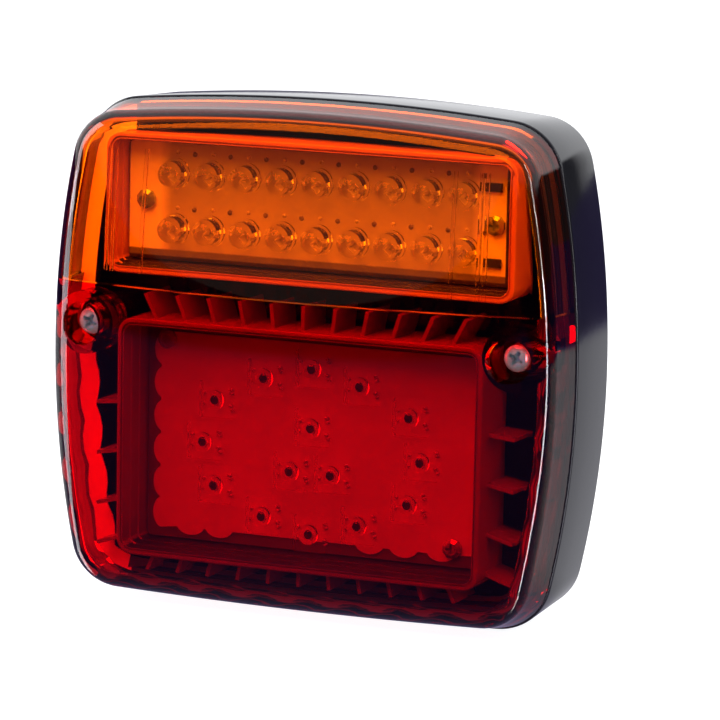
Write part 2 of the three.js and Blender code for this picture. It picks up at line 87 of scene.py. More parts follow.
RED_BOX = (-35.0, 35.0, -37.4, 4.2)
BOARD_FRONT = 18.6
LED_BASE = 18.9
AMBER_ROWS = {"upper": 32.8, "lower": 22.3}
AMBER_FIRST, AMBER_PITCH, AMBER_COUNT = -29.4, 7.36, 9
RING_CENTRE = -17.6

# ---- mesh helpers ---------------------------------------------------------------------------


def metres(points):
    """Points (right, up, out) in millimetres as metres in the frame: x stays, out is -y, up is z."""
    return np.asarray(points, float)[..., [0, 2, 1]] * [0.001, -0.001, 0.001]


def grid_faces(rows, columns, close_rows=False, close_columns=False):
    """Quads between neighbouring rows and columns of a grid of points numbered row by row."""
    number = np.arange(rows * columns).reshape(rows, columns)
    if close_rows:
        number = np.vstack([number, number[:1]])
    if close_columns:
        number = np.hstack([number, number[:, :1]])
    corners = [number[:-1, :-1], number[:-1, 1:], number[1:, 1:], number[1:, :-1]]
    return np.stack(corners, axis=-1).reshape(-1, 4)


def mesh_of(name, parts, merge=1e-6, sharp=32.0):
    """One mesh from (points, faces) pairs: doubles merged, thin faces dropped, normals outward."""
    points, faces, start = [], [], 0
    for part_points, part_faces in parts:
        part_points = np.asarray(part_points).reshape(-1, 3)
        points.append(part_points)
        faces += [[int(v) + start for v in face] for face in part_faces]
        start += len(part_points)
    mesh = bpy.data.meshes.new(name)
    mesh.from_pydata(np.vstack(points).tolist(), [], faces)
    work = bmesh.new()
    work.from_mesh(mesh)
    bmesh.ops.remove_doubles(work, verts=work.verts, dist=merge)
    bmesh.ops.dissolve_degenerate(work, edges=work.edges, dist=merge)
    bmesh.ops.recalc_face_normals(work, faces=work.faces)
    work.to_mesh(mesh)
    work.free()
    smooth(mesh, sharp)
    return mesh


def smooth(mesh, sharp):
    """Smooth shading, broken at edges sharper than the angle in degrees."""
    mesh.polygons.foreach_set("use_smooth", np.ones(len(mesh.polygons), bool))
    mesh.set_sharp_from_angle(angle=math.radians(sharp))


def add_object(name, data):
    """A new object in the scene, made from a mesh, a light or a camera."""
    thing = bpy.data.objects.new(name, data)
    bpy.context.scene.collection.objects.link(thing)
    return thing


def piece(name, mesh, material, body="base", stands_for=()):
    """Puts a finished mesh on its body, with its finish and the CAD nodes that it stands for."""
    thing = add_object(name, mesh)
    mesh.materials.clear()
    for one in material if isinstance(material, (list, tuple)) else [material]:
        mesh.materials.append(one)
    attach(thing, body)
    if stands_for:
        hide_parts(*stands_for)


def ring_surface(rings, middle=None):
    """A surface over closed lines, each an (x, up) line and its out.

    Without a middle the last line joins the first; with one, a point there closes both ends.
    """
    loop = np.stack([np.c_[line, np.full(len(line), out)] for line, out in rings])
    if middle is not None:
        ends = loop[[0, -1]]
        ends[..., :2] = middle
        loop = np.concatenate([ends[:1], loop, ends[1:]])
    return metres(loop), grid_faces(*loop.shape[:2], middle is None, True)


def turned(profile, centre, sides=48, base=0.0):
    """A profile of (radius, out) pairs turned about an axis along out: x = r cos t, up = r sin t."""
    radius, out = np.array(profile, float).T[..., None]
    angle = np.linspace(0, 2 * math.pi, sides, endpoint=False)
    x = centre[0] + radius * np.cos(angle)
    up = centre[1] + radius * np.sin(angle)
    points = np.stack([x, up, np.broadcast_to(base + out, x.shape)], axis=-1)
    return metres(points), grid_faces(*x.shape, close_columns=True)


def arc_profile(centre, radius, start, stop, count):
    """Pairs on a circle about centre, from the start angle to the stop angle in degrees."""
    angle = np.radians(np.linspace(start, stop, count))
    return [(centre[0] + radius * math.cos(a), centre[1] + radius * math.sin(a)) for a in angle]


def dome_profile(radius, rise, base, start, count):
    """Pairs up a flattened dome, (radius cos a, base + rise sin a), from the start angle to its top."""
    angle = np.linspace(start, math.pi / 2, count)[:-1]
    return [*zip(radius * np.cos(angle), base + rise * np.sin(angle)), (0, base + rise)]


def round_bars(places, radius, low, high, sides=64):
    """A round bar standing at each place, from low to high."""
    profile = [(0, low), (radius, low), (radius, high), (0, high)]
    return [mesh_of("bar", [turned(profile, place, sides)]) for place in places]


def combined(target, others, operation):
    """The target's mesh after a union with, or difference from, each of the other meshes."""
    base = add_object("work", target)
    helpers = [add_object("helper", other) for other in others]
    for helper in helpers:
        modifier = base.modifiers.new("combine", "BOOLEAN")
        modifier.operation = operation
        modifier.solver = "MANIFOLD"
        modifier.object = helper
    graph = bpy.context.evaluated_depsgraph_get()
    result = bpy.data.meshes.new_from_object(base.evaluated_get(graph))
    for thing in [base, *helpers]:
        bpy.data.objects.remove(thing)
    return result


def face_vectors(mesh, kind):
    """The centre or the normal of every face, one row each."""
    values = np.zeros(len(mesh.polygons) * 3)
    mesh.polygons.foreach_get(kind, values)
    return values.reshape(-1, 3)


def second_finish(mesh, chosen):
    """Gives the mesh's second material to the chosen faces."""
    mesh.polygons.foreach_set("material_index", chosen.astype(np.int32))


# ---- the lamp's outline ---------------------------------------------------------------------


def arc_centres(direction):
    """The bowed end's radius, and the centres of the bowed side and the bowed end.

    The end is the top for direction 1 and the bottom for -1.
    """
    radius = TOP_RADIUS if direction > 0 else BOTTOM_RADIUS
    side = np.array([HALF_WIDTH - SIDE_RADIUS, 0.0])
    return radius, side, np.array([0.0, direction * (HALF_HEIGHT - radius)])


def corner_centre(direction):
    """Where the side's circle and the end's circle cross, each drawn in by the corner radius."""
    end_radius, side, end = arc_centres(direction)
    near, far = SIDE_RADIUS - CORNER_RADIUS, end_radius - CORNER_RADIUS
    apart = end - side
    distance = np.hypot(*apart)
    along = (distance**2 + near**2 - far**2) / (2 * distance)
    across = math.sqrt(near**2 - along**2)
    apart /= distance
    return side + apart * along + np.array([-apart[1], apart[0]]) * direction * across


CORNERS = {direction: corner_centre(direction) for direction in (1, -1)}


def quarter(inset, direction, start, steps=(18, 14, 22)):
    """The right-hand quarter outline, from height start on the side to the end's middle.

    Three arcs in turn, each drawn in by inset: the bowed side, the round corner, the bowed end.
    """
    end_radius, side, end = arc_centres(direction)
    corner = CORNERS[direction]
    first = math.asin(start / (SIDE_RADIUS - inset))
    second = math.atan2(corner[1] - side[1], corner[0] - side[0])
    third = math.atan2(corner[1] - end[1], corner[0] - end[0])
    stretches = [
        (side, SIDE_RADIUS - inset, first, second, steps[0], False),
        (corner, CORNER_RADIUS - inset, second, third, steps[1], False),
        (end, end_radius - inset, third, direction * math.pi / 2, steps[2], True),
    ]
    pieces = []
    for centre, radius, low, high, count, last in stretches:
        angle = np.linspace(low, high, count, endpoint=last)
        pieces.append(centre + radius * np.stack([np.cos(angle), np.sin(angle)], axis=-1))
    return np.vstack(pieces)


def mirrored(points):
    """The quarter followed by its mirror image, so the line runs from side to side."""
    other = points[-2::-1] * [-1, 1]
    return np.vstack([points, other])


def full_outline(inset):
    """The whole outline as a closed line, anticlockwise from the right-hand side's middle."""
    top = mirrored(quarter(inset, 1, 0.0))
    bottom = mirrored(quarter(inset, -1, 0.0))[::-1]
    return np.vstack([top[:-1], bottom[:-1]])


def swept_outline(profile):
    """A profile of (inset, out) pairs carried round the whole outline, closed by a point at both ends."""
    return ring_surface([(full_outline(inset), out) for inset, out in profile], (0.0, 0.0))


# ---- finishes -------------------------------------------------------------------------------


def new_group(name, inputs, outputs):
    """An empty shader group with named float inputs and typed outputs."""
    group = bpy.data.node_groups.new(name, "ShaderNodeTree")
    for label, value in inputs.items():
        socket = group.interface.new_socket(label, in_out="INPUT", socket_type="NodeSocketFloat")
        socket.default_value = value
    for label, kind in outputs.items():
        group.interface.new_socket(label, in_out="OUTPUT", socket_type=f"NodeSocket{kind}")
    return group


def node(tree, kind, inputs=None, **settings):
    """A node with its settings, and its inputs set to a value or linked from a socket."""
    made = tree.nodes.new(kind)
    for key, value in settings.items():
        setattr(made, key, value)
    for key, value in (inputs or {}).items():
        if isinstance(value, bpy.types.NodeSocket):
            tree.links.new(value, made.inputs[key])
        else:
            made.inputs[key].default_value = value
    return made


def ramp(tree, value, start, stop, low=0.0, high=1.0, smoothed=False):
    """A value's way from start to stop as a level from low to high, held beyond both ends."""
    inputs = {0: value, 1: start, 2: stop, 3: low, 4: high}
    kind = "SMOOTHSTEP" if smoothed else "LINEAR"
    return node(tree, "ShaderNodeMapRange", inputs, interpolation_type=kind).outputs[0]


def reckon(tree, operation, *values):
    """The result of a Math node on one to three values."""
    return node(tree, "ShaderNodeMath", dict(enumerate(values)), operation=operation).outputs[0]


def moulded_group():
    """Moulded surface: slow patches and fine grain give a shade mask, a roughness and a normal."""
    inputs = {"Patch Scale": 60.0, "Grain Scale": 900.0, "Roughness": 0.2, "Spread": 0.1, "Relief": 0.05}
    outputs = {"Shade": "Float", "Roughness": "Float", "Normal": "Vector"}
    group = new_group("moulded_surface", inputs, outputs)
    given = group.nodes.new("NodeGroupInput")
    place = node(group, "ShaderNodeTexCoord").outputs["Object"]
    patch_inputs = {"Vector": place, "Scale": given.outputs["Patch Scale"], "Detail": 3.0}
    patch = node(group, "ShaderNodeTexNoise", patch_inputs).outputs["Fac"]
    grain_inputs = {"Vector": place, "Scale": given.outputs["Grain Scale"], "Detail": 4.0}
    grain = node(group, "ShaderNodeTexNoise", grain_inputs).outputs["Fac"]
    offset = reckon(group, "SUBTRACT", patch, 0.5)
    share = reckon(group, "MULTIPLY_ADD", offset, given.outputs["Spread"], given.outputs["Roughness"])
    bump_inputs = {"Strength": given.outputs["Relief"], "Distance": 0.0002, "Height": grain}
    bump = node(group, "ShaderNodeBump", bump_inputs)
    out = group.nodes.new("NodeGroupOutput")
    group.links.new(patch, out.inputs["Shade"])
    group.links.new(share, out.inputs["Roughness"])
    group.links.new(bump.outputs["Normal"], out.inputs["Normal"])
    return group


MOULDED = moulded_group()


def start_material(name):
    """A new material with its tree, its Principled shader and its output."""
    material = bpy.data.materials.new(name)
    material.use_nodes = True
    tree = material.node_tree
    shader = next(n for n in tree.nodes if n.type == "BSDF_PRINCIPLED")
    output = next(n for n in tree.nodes if n.type == "OUTPUT_MATERIAL")
    return material, tree, shader, output


def surface(tree, shader, roughness, spread, relief, patch, grain):
    """Places the moulded group and links its roughness and normal to the shader."""
    group = node(tree, "ShaderNodeGroup", node_tree=MOULDED)
    for socket, value in zip(group.inputs, (patch, grain, roughness, spread, relief)):
        socket.default_value = value
    for label in ("Roughness", "Normal"):
        tree.links.new(group.outputs[label], shader.inputs[label])
    return group


def shade_mix(tree, share, below, above):
    """Mixes two colours, each fixed or linked, by a share from 0 to 1."""
    mix = node(tree, "ShaderNodeMix", {"Factor": share}, data_type="RGBA")
    for number, value in ((6, below), (7, above)):
        if isinstance(value, tuple):
            mix.inputs[number].default_value = (*value, 1)
        else:
            tree.links.new(value, mix.inputs[number])
    return mix.outputs[2]


def shown_to(tree, ray, other, shader, output):
    """Shows the other shader to one kind of ray, and the material's own shader to the rest."""
    path = node(tree, "ShaderNodeLightPath")
    inputs = {0: path.outputs[ray], 1: shader.outputs[0], 2: other.outputs[0]}
    mix = node(tree, "ShaderNodeMixShader", inputs)
    tree.links.new(mix.outputs[0], output.inputs["Surface"])


def plastic(
    name, dark, light, roughness, spread=0.1, relief=0.05, patch=60.0, grain=900.0, metal=0.0
):
    """An opaque finish whose colour wanders between two shades with the moulded group's mask."""
    material, tree, shader, _ = start_material(name)
    group = surface(tree, shader, roughness, spread, relief, patch, grain)
    tree.links.new(shade_mix(tree, group.outputs["Shade"], dark, light), shader.inputs["Base Color"])
    shader.inputs["Metallic"].default_value = metal
    return material


def clear_plastic(name, absorption, density, roughness=0.015, relief=0.006, ior=1.49):
    """Transparent moulded plastic whose colour builds up with the depth of material.

    Light from the lamps passes straight through to what lies behind.
    """
    material, tree, shader, output = start_material(name)
    surface(tree, shader, roughness, 0.01, relief, 40.0, 150.0)
    shader.inputs["Base Color"].default_value = (1, 1, 1, 1)
    shader.inputs["Transmission Weight"].default_value = 1.0
    shader.inputs["IOR"].default_value = ior
    shown_to(tree, "Is Shadow Ray", node(tree, "ShaderNodeBsdfTransparent"), shader, output)
    if density:
        body = node(tree, "ShaderNodeVolumeAbsorption", {"Color": (*absorption, 1), "Density": density})
        tree.links.new(body.outputs[0], output.inputs["Volume"])
    return material


BLACK = plastic(
    "black_gloss_plastic", (0.004, 0.004, 0.006), (0.009, 0.009, 0.012), 0.1, 0.08, 0.03, grain=500.0
)
AMBER = clear_plastic("amber_lens_plastic", (0.994, 0.815, 0.0), 2300.0)
RED = clear_plastic("red_lens_plastic", (0.965, 0.0, 0.0), 2200.0)
RESIN = clear_plastic("clear_led_resin", (1, 1, 1), 0.0, 0.01, 0.0, ior=1.4)
SOFT_RESIN = clear_plastic("clear_led_body", (1, 1, 1), 0.0, 0.08, 0.0, ior=1.1)
AMBER_WELL = plastic("amber_well_plastic", (0.40, 0.13, 0.05), (0.50, 0.18, 0.07), 0.25)
RED_WELL = plastic("red_well_plastic", (0.135, 0.022, 0.028), (0.20, 0.03, 0.042), 0.25)
# painted shade: near black for the wells' lower inner walls, where shadow falls
WELL_SILL_PAINTED_SHADE = plastic("painted_shade_sill", (0.012, 0.006, 0.006), (0.02, 0.009, 0.009), 0.6)
BOARD_DARK = plastic("dark_board", (0.05, 0.05, 0.05), (0.09, 0.09, 0.09), 0.5, patch=90.0)
SHEET_WHITE = plastic("pale_sheet", (0.30, 0.29, 0.28), (0.54, 0.53, 0.52), 0.4, patch=35.0)
SEAT_PAINTED_LIGHT = plastic("gasket_painted_light", (0.74, 0.72, 0.70), (0.86, 0.84, 0.82), 0.5)
BOARD_SPOT = plastic("bare_board_spot", (0.10, 0.08, 0.06), (0.18, 0.15, 0.12), 0.5, patch=200.0)
ZINC = plastic(
    "zinc_plated_steel", (0.38, 0.50, 0.54), (0.56, 0.68, 0.72), 0.2, 0.1, 0.05, metal=0.75, patch=150.0
)
BRASS = plastic("brass", (0.55, 0.38, 0.15), (0.68, 0.50, 0.22), 0.3, 0.15, metal=1.0, patch=200.0)
RUBBER = plastic("black_rubber", (0.012, 0.012, 0.013), (0.03, 0.03, 0.032), 0.75, 0.15, 0.3)
CREAM = plastic("cream_terminal_plastic", (0.62, 0.58, 0.50), (0.72, 0.68, 0.60), 0.5)
CHIP = plastic("chip_resistor", (0.008, 0.008, 0.01), (0.03, 0.03, 0.034), 0.5)
SILVER = plastic(
    "silvered_cup", (0.50, 0.48, 0.44), (0.80, 0.78, 0.72), 0.25, 0.2, 0.1, metal=0.6, patch=900.0
)
WIRES = {
    "red_lead": plastic("red_insulation", (0.35, 0.01, 0.01), (0.5, 0.02, 0.02), 0.5),
    "amber_lead": plastic("yellow_insulation", (0.55, 0.34, 0.02), (0.7, 0.45, 0.04), 0.5),
    "earth_lead": plastic("white_insulation", (0.6, 0.6, 0.58), (0.75, 0.75, 0.73), 0.5),
    "bridge_lead": plastic("brown_insulation", (0.12, 0.05, 0.02), (0.18, 0.08, 0.03), 0.5),
}


def amber_board_painted_light_finish():
    """The pale board, with painted light and shade: lighter towards both ends as painted light, dark along
    its right and lower edges as painted shade.
    """
    material, tree, shader, _ = start_material("amber_board_painted_light_and_shade")
    group = surface(tree, shader, 0.45, 0.1, 0.05, 90.0, 900.0)
    place = node(tree, "ShaderNodeTexCoord")
    parts = node(tree, "ShaderNodeSeparateXYZ", {0: place.outputs["Object"]})
    away = reckon(tree, "ABSOLUTE", parts.outputs["X"])
    # painted light: the board is made paler past the outer lights
    painted_bright_ends = ramp(tree, away, 0.0305, 0.033)
    above_painted_shade_band = ramp(tree, parts.outputs["Z"], 0.018, 0.0183)
    above_painted_dark_edge = ramp(tree, parts.outputs["Z"], 0.0168, 0.017)
    painted_shadow_right_edge = ramp(tree, parts.outputs["X"], 0.0372, 0.0374)
    colour = shade_mix(tree, group.outputs["Shade"], (0.30, 0.28, 0.25), (0.48, 0.45, 0.41))
    colour = shade_mix(tree, painted_bright_ends, colour, (0.80, 0.75, 0.68))
    # painted shade: a brown band and a near-black edge along the bottom, and a painted shadow down the right
    # edge
    colour = shade_mix(tree, above_painted_shade_band, (0.14, 0.12, 0.10), colour)
    colour = shade_mix(tree, above_painted_dark_edge, (0.02, 0.01, 0.01), colour)
    colour = shade_mix(tree, painted_shadow_right_edge, colour, (0.015, 0.01, 0.012))
    tree.links.new(colour, shader.inputs["Base Color"])
    return material


# ---- lens -----------------------------------------------------------------------------------


def edge_top(offset):
    """Height at which the round edge ends, on the skin drawn in by offset."""
    return SHOULDER + (EDGE_RADIUS - offset) * math.sin(EDGE_SWEEP)


def crown_rise(x, up, offset):
    """Rise of the skin over its edge: 5.94 (1 - x^2)(1 - y^2), x and y as shares of the edge's reach."""
    reach = (EDGE_RADIUS - offset) * math.cos(EDGE_SWEEP) - EDGE_INSET
    half_x, half_y = HALF_WIDTH + reach, (HALF_HEIGHT + reach) * END_SQUEEZE
    return CROWN * (1 - (x / half_x) ** 2) * (1 - (up / half_y) ** 2)


def lens_surface(direction, offset):
    """One half of the lens's skin, drawn in by offset, as rings from the rim to a point on the parting line.

    The rim and the straight side come first; then the round edge, where the inset is
    5.6 - r cos a and the height 26.5 + r sin a; then rings that shrink towards the parting line's
    middle. The crown is added little by little round the edge and in full inside it.
    """
    parting = PARTING + direction * PARTING_GAP
    radius = EDGE_RADIUS - offset

    def ring(inset, squeeze):
        points = mirrored(quarter(inset, direction, parting / squeeze))
        return points * [1, squeeze]

    def rise(points):
        return crown_rise(points[:, 0], points[:, 1], offset)

    rings = []
    for share in np.linspace(0, 1, 4, endpoint=False):
        points = ring(LENS_INSET + offset + share * DRAFT, 1 - share * (1 - END_SQUEEZE))
        rings.append(np.c_[points, np.full(len(points), LENS_RIM + share * (SHOULDER - LENS_RIM))])
    for share in np.linspace(0, 1, 15):
        angle = share * EDGE_SWEEP
        points = ring(EDGE_INSET - radius * math.cos(angle), END_SQUEEZE)
        rings.append(np.c_[points, SHOULDER + radius * math.sin(angle) + rise(points) * share])
    edge, middle = points, np.array([0.0, parting])
    for share in np.linspace(0, 1, 36)[1:]:
        points = edge + (middle - edge) * share
        rings.append(np.c_[points, edge_top(offset) + rise(points)])
    return np.stack(rings)


def arc_length(line):
    """Length along a line of points, from its first point."""
    return np.r_[0, np.cumsum(np.hypot(*np.diff(line[:, :2], axis=0).T))]


def fluted(rings, depth=0.9, reach=16, fading=6):
    """The rings with upright flutes in their side wall, which fade out over the last rings of their reach.

    A ring moves in by depth (1 - |cos(pi s / 9.3)|), with s the length round the rim.
    """
    wave = 1 - np.abs(np.cos(math.pi * arc_length(rings[0]) / FLUTE_PITCH))
    tangent = np.gradient(rings[0][:, :2], axis=0)
    tangent /= np.linalg.norm(tangent, axis=1, keepdims=True)
    inward = np.stack([-tangent[:, 1], tangent[:, 0]], axis=1)
    inward *= np.sign(-np.sum(inward * rings[0][:, :2], axis=1, keepdims=True))
    fade = np.zeros(len(rings))
    fade[: reach - fading] = 1
    fade[reach - fading : reach] = np.linspace(1, 0, fading)
    rings = rings.copy()
    rings[..., :2] += (fade[:, None] * wave * depth)[..., None] * inward
    return rings


def lens_half(outer, inner):
    """A closed half lens: outer skin, inner skin, the rim between them and the parting face."""
    loop = np.concatenate([outer, inner[::-1]])
    rows, columns = loop.shape[:2]
    faces = grid_faces(rows, columns, close_rows=True).tolist()
    # the two ends of the grid lie in the parting plane, where quads join the outer and inner lines
    number = np.arange(rows * columns).reshape(rows, columns)
    for column in (0, columns - 1):
        out_line, in_line = number[: len(outer), column], number[len(outer) :, column][::-1]
        ends = np.stack([out_line[:-1], out_line[1:], in_line[1:], in_line[:-1]], axis=-1)
        faces += ends.tolist()
    return metres(loop), faces


def bar_along(line, section):
    """A section of (across, out) pairs carried along a line of (x, up, out) points, closed at both ends."""
    line = np.array(line, float)
    ahead = np.gradient(line, axis=0)
    ahead /= np.linalg.norm(ahead, axis=1, keepdims=True)
    front = np.array([0.0, 0.0, 1.0])
    across = np.cross(ahead, front)
    across /= np.linalg.norm(across, axis=1, keepdims=True)
    front = np.cross(across, ahead)
    section = np.array(section, float)
    loop = line[:, None] + section[None, :, :1] * across[:, None] + section[None, :, 1:] * front[:, None]
    rows, columns = loop.shape[:2]
    faces = grid_faces(rows, columns, close_columns=True).tolist()
    faces += [list(range(columns)), list(range((rows - 1) * columns, rows * columns))]
    return metres(loop), faces


def lens_ribs():
    """Upright half-round ribs under the amber crown, over the two ends of the board."""
    half_width, depth, sunk, steps = 0.42, 0.18, 0.02, 24
    section = [(half_width * math.cos(a), -depth * math.sin(a)) for a in np.linspace(0, math.pi, 9)]
    up = np.linspace(15.2, 38.4, steps)
    parts = []
    for x in (-38.2, -36.9, -30.4, 31.6, 36.6, 37.8):
        out = edge_top(LENS_WALL) + crown_rise(x, up, LENS_WALL) - sunk
        parts.append(bar_along(np.stack([np.full(steps, x), up, out], axis=1), section))
    return mesh_of("amber_lens_ribs", parts)


def amber_cover():
    """The upper half of the lens, smooth inside and out."""
    half = lens_half(lens_surface(1, 0.0), lens_surface(1, LENS_WALL))
    return mesh_of("amber_cover", [half], merge=1e-5)


def red_cover():
    """The lower half of the lens, fluted inside its wall, with a tube and a bore for each screw."""
    half = lens_half(lens_surface(-1, 0.0), fluted(lens_surface(-1, LENS_WALL)))
    tube, head_bore, shank_bore = 6.0, 4.1, 1.8
    places = SCREWS.values()
    mesh = mesh_of("red_cover", [half], merge=1e-5)
    mesh = combined(mesh, round_bars(places, tube, 23.1, 29.2), "UNION")
    bores = round_bars(places, head_bore, 25.1, 40.0) + round_bars(places, shank_bore, 15.0, 30.0, 32)
    mesh = combined(mesh, bores, "DIFFERENCE")
    smooth(mesh, 32.0)
    return mesh


piece("amber_cover", amber_cover(), AMBER, "lens_cover", ["amber_lens"])
piece("amber_lens_ribs", lens_ribs(), AMBER, "lens_cover")
piece("red_cover", red_cover(), RED, "lens_cover", ["red_lens"])

# ---- housing --------------------------------------------------------------------------------

HOUSING_PROFILE = [  # (inset, out) from the back edge round the rim to the floor's inside
    (2.2, 0.0),
    *arc_profile((1.8, 1.0), 1.0, 270, 180, 7),
    (0.4, 10.0),
    (0.02, 18.4),
    *arc_profile((0.52, 18.5), 0.5, 165, 90, 6),
    (0.7, RIM),
    (0.75, RIM + 0.22),
    (2.2, RIM + 0.22),
    (2.2, RIM),
    (2.8, RIM),
    (2.8, RIM - 1.8),
    (4.4, RIM - 1.8),
    (4.4, RIM),
    (5.0, RIM),
    (5.0, RIM - 3.6),
    (3.2, RIM - 3.6),
    (3.2, 3.2),
    (3.9, 2.4),
    (5.0, 2.2),
]


def housing_shell():
    """The tray with its pillars, posts and bosses, and then their holes and the cable entry cut out."""
    root, below = 1.1, -1.0
    pillar, post, boss = 4.2, 2.6, 6.0
    standing = round_bars(SCREWS.values(), pillar, root, 22.8)
    standing += round_bars(BOARD_SCREWS, post, root, 15.2, 32)
    standing += round_bars(MOUNT_HOLES, boss, root, 4.6)
    seat, insert, pilot, bolt, cable = 3.1, 1.8, 1.3, 3.0, 6.0
    holes = round_bars(SCREWS.values(), seat, 13.2, 24.0)
    holes += round_bars(SCREWS.values(), insert, 4.2, 14.0, 32)
    holes += round_bars(BOARD_SCREWS, pilot, 4.2, 16.0, 24)
    holes += round_bars(MOUNT_HOLES, bolt, below, 6.0)
    holes += round_bars([CABLE_ENTRY], cable, below, 4.0)
    shell = mesh_of("housing_shell", [swept_outline(HOUSING_PROFILE)], merge=1e-5)
    mesh = combined(combined(shell, standing, "UNION"), holes, "DIFFERENCE")
    smooth(mesh, 32.0)
    return mesh


piece("housing_shell", housing_shell(), BLACK, "base", ["housing"])

# ---- seal -----------------------------------------------------------------------------------


def gasket():
    """Flat ring under the lens, with the cord below it in the rim's groove.

    The ring is narrow, and wide at the left. From inset 5.6 its inner edge goes 0.3 of the way to
    inset 8.4, or, at the left of the red field, 0.1 + 0.4 |sin(pi s / 9.3)| of it, s round the edge.
    Its pale part at the left is painted light, for the light that comes in through the lens's left wall.
    """
    wide, narrow, near, far = (full_outline(inset) for inset in (2.6, 5.4, 5.6, 8.4))
    scallop = np.abs(np.sin(math.pi * arc_length(near) / FLUTE_PITCH))[:, None]
    left = np.clip((-near[:, :1] - 34) / 8, 0, 1)
    red = np.clip((10 - near[:, 1:]) / 4, 0, 1)
    outer = narrow + (wide - narrow) * left
    inner = near + (far - near) * (0.3 * (1 - left) + left * red * (0.1 + 0.4 * scallop))
    back, front = RIM + 0.03, RIM + 0.27
    flat = ring_surface([(outer, back), (outer, front), (inner, front), (inner, back)])
    foot, top = RIM - 1.5, RIM - 0.05
    corners = ((3.1, foot), (3.1, top), (4.1, top), (4.1, foot))
    cord = ring_surface([(full_outline(inset), out) for inset, out in corners])
    return mesh_of("seal_gasket", [flat, cord])


# painted light: the gasket is pale left of this, in metres
PAINTED_LIGHT_LEFT_OF = -0.038  # metres
seal = gasket()
piece("seal_gasket", seal, [RUBBER, SEAT_PAINTED_LIGHT], "base", ["lens_seal"])
second_finish(seal, face_vectors(seal, "center")[:, 0] < PAINTED_LIGHT_LEFT_OF)

# ---- light wells ----------------------------------------------------------------------------


def rectangle_line(box, radius, grow, corner=8, edge=10):
    """Closed line round a box (left, right, bottom, top) grown by grow, with corners of radius + grow."""
    left, right, bottom, top = box
    centres = [
        (right - radius, top - radius),
        (left + radius, top - radius),
        (left + radius, bottom + radius),
        (right - radius, bottom + radius),
    ]
    reach = max(radius + grow, 0.05)
    arcs = []
    for number, centre in enumerate(centres):
        angle = number * math.pi / 2 + np.linspace(0, math.pi / 2, corner)
        arcs.append(centre + reach * np.stack([np.cos(angle), np.sin(angle)], axis=1))
    line = []
    for arc, following in zip(arcs, arcs[1:] + arcs[:1]):
        line += [arc, np.linspace(arc[-1], following[0], edge + 1)[1:-1]]
    return np.vstack(line)


def swept_box(box, radius, profile, solid=False):
    """A profile of (grow, out) pairs carried round a box: a ring, or a solid closed by end points."""
    rings = [(rectangle_line(box, radius, grow), out) for grow, out in profile]
    middle = ((box[0] + box[1]) / 2, (box[2] + box[3]) / 2)
    return ring_surface(rings, middle if solid else None)


def well_profile(front):
    """Outside wall, rounded rim with a groove, stepped inside wall and the lip under the board."""
    foot, lip = 15.5, 16.7
    step = (front - 18.8) / 3
    return [
        (1.9, foot),
        *arc_profile((1.5, front - 0.4), 0.4, 0, 90, 5),
        (1.1, front),
        (1.05, front - 0.5),
        (0.8, front - 0.5),
        (0.75, front - 0.1),
        (0.6, front - 0.1),
        (0.55, front - step),
        (0.3, front - step - 0.2),
        (0.28, front - 2 * step),
        (0.06, front - 2 * step - 0.2),
        (0.02, lip),
        (-1.6, lip),
        (-1.6, foot),
    ]


def mark_painted_shade_sill(mesh, box):
    """Gives the second finish, painted shade, to the faces inside the box that look up from its lower wall.
    """
    left, right, bottom, _ = (0.001 * edge for edge in box)
    x, _, up = face_vectors(mesh, "center").T
    facing_up = face_vectors(mesh, "normal")[:, 2] > 0.6
    low = (up < bottom + 0.001) & (up > bottom - 0.0009)
    second_finish(mesh, low & facing_up & (x > left) & (x < right))


def upright_fin(start, finish, low, high, thickness=0.7):
    """A thin plate standing on the line from start to finish, from low to high."""
    start, finish = np.array(start, float), np.array(finish, float)
    side = np.array([-(finish - start)[1], (finish - start)[0]])
    side *= thickness / 2 / np.linalg.norm(side)
    corners = [start - side, start + side, finish + side, finish - side]
    points = [(x, up, out) for out in (low, high) for x, up in corners]
    faces = [(0, 1, 2, 3), (4, 5, 6, 7), (0, 1, 5, 4), (1, 2, 6, 5), (2, 3, 7, 6), (3, 0, 4, 7)]
    return metres(points), faces


def red_well_fins():
    """Thin fins that spread from the red well's wall to the housing, on all four sides."""
    root, foot, crest = 1.8, 15.6, 25.4
    left, right, bottom, top = RED_BOX
    parts = []
    for x in np.arange(-30, 31, 6.0):
        parts.append(upright_fin((x, top + root), (x * 1.08, 10.6), foot, crest))
        parts.append(upright_fin((x, bottom - root), (x * 1.05, -42.4), foot, crest))
    for up in (-10.5, -19.8, -29.1, -36.5):
        parts.append(upright_fin((left - root, up), (-42.4, up * 1.05), foot, crest - 0.4))
        parts.append(upright_fin((right + root, up), (42.0, up * 1.05), foot, crest - 1.4))
    return parts


WELL_CORNER = 1.2
amber_well = mesh_of("amber_well", [swept_box(AMBER_BOX, WELL_CORNER, well_profile(24.5))], sharp=28)
piece("amber_well", amber_well, [AMBER_WELL, WELL_SILL_PAINTED_SHADE], "base", ["amber_light_well"])
mark_painted_shade_sill(amber_well, AMBER_BOX)

red_walls = swept_box(RED_BOX, WELL_CORNER, well_profile(27.8))
red_well = mesh_of("red_well", [red_walls, *red_well_fins()], sharp=28)
piece("red_well", red_well, [RED_WELL, WELL_SILL_PAINTED_SHADE], "base", ["red_light_well"])
mark_painted_shade_sill(red_well, RED_BOX)

# ---- dark web between the wells -------------------------------------------------------------


def centre_web():
    """A flat web with low upright fins across it."""
    flat = swept_box((-38.0, 38.0, 6.6, 15.2), 1.0, [(0, 11.0), (0, 12.0)], solid=True)
    fins = [upright_fin((x, 6.8), (x, 15.0), 11.8, 13.4) for x in np.arange(-34.0, 35.0, 8.5)]
    return mesh_of("centre_web", [flat, *fins])


